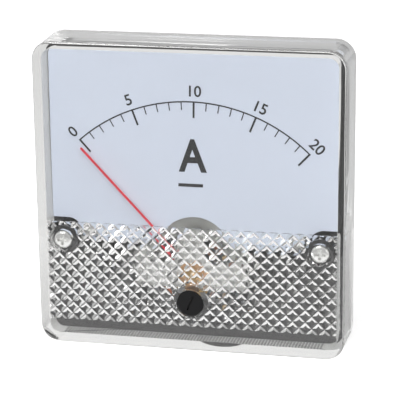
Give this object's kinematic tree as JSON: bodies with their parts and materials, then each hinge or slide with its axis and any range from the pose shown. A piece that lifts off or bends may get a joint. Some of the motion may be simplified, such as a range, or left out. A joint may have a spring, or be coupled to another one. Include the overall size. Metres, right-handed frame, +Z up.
{
  "type": "analog panel meter",
  "caption": "Square moving-coil panel meter: clear cover with a pyramid pattern below, curved scale, red needle, front zero adjuster, round barrel, rear terminals and fixing studs.",
  "frame": {"origin": "barrel axis in the plane of the panel, at the flange's back face", "axes": "+Z up, +X to the right seen from the front, -Y out of the panel towards the viewer"},
  "size_m": [0.08, 0.0608, 0.08],
  "materials": {
    "clear_cover": "clear polished polystyrene",
    "black_moulding": "satin black phenolic moulding",
    "black_disc": "glossy black nylon",
    "dial_white": "matt pale painted sheet",
    "needle_red": "red painted aluminium",
    "bright_plate": "nickel plated",
    "terminal_plate": "nickel plated brass",
    "steel": "plain steel",
    "cast_frame": "die-cast, as cast",
    "magnet": "ground magnet alloy",
    "brass": "turned brass",
    "bronze": "phosphor bronze strip",
    "copper_wire": "enamelled copper wire",
    "resistance_wire": "enamelled resistance wire",
    "former_sheet": "thin bright sheet",
    "bobbin_moulding": "natural moulding",
    "lead_sleeve": "red sleeving"
  },
  "bodies": {
    "housing": {"base_housing": "black_moulding", "front_cover": "clear_cover", "cover_screws": "bright_plate", "dial_plate": "dial_white", "dial_screws": "bright_plate", "needle_stops": "steel", "movement_frame": "cast_frame", "movement_screws": "steel", "yoke_ring": "steel", "magnet_core": "magnet", "core_spacers": "brass", "front_bridge": "bright_plate", "bridge_screws": "bright_plate", "front_jewel_screw": "brass", "rear_jewel_screw": "brass", "jewel_lock_nuts": "brass", "rear_spring_anchor": "brass", "rear_hairspring": "bronze", "terminal_studs": "terminal_plate", "terminal_inner_nuts": "terminal_plate", "solder_tags": "terminal_plate", "terminal_fixing_nuts": "terminal_plate", "terminal_washers": "terminal_plate", "terminal_spring_washers": "steel", "terminal_nuts": "terminal_plate", "mounting_studs": "steel", "resistor_bobbin": "bobbin_moulding", "resistor_winding": "resistance_wire", "anchor_lead": "lead_sleeve", "resistor_lead": "lead_sleeve", "frame_lead": "lead_sleeve"},
    "moving_coil": {"coil_former": "former_sheet", "coil_winding": "copper_wire", "coil_pivots": "steel", "needle_hub": "brass", "needle": "needle_red", "balance_weights": "brass"},
    "lever": {"zero_lever": "bronze", "front_hairspring": "bronze"},
    "adjuster": {"zero_adjuster": "black_disc"}
  },
  "joints": [
    {"name": "needle_swing", "type": "hinge", "parent": "housing", "child": "moving_coil", "pos_m": [0, 0, -0.02], "axis": [0, 1, 0], "range_deg": [-4, 90], "stiffness_Nm_per_rad": 0.000006, "deforming": ["front_hairspring", "rear_hairspring"]},
    {"name": "adjuster_turn", "type": "hinge", "parent": "housing", "child": "adjuster", "pos_m": [0, 0, -0.02715], "axis": [0, 1, 0], "range_deg": [-90, 90]},
    {"name": "lever_turn", "type": "hinge", "parent": "housing", "child": "lever", "pos_m": [0, 0, -0.02], "axis": [0, 1, 0], "range_deg": [-6, 6]}
  ],
  "couplings": [
    {"joint": "lever_turn", "follows": "adjuster_turn", "ratio": -0.0623}
  ]
}
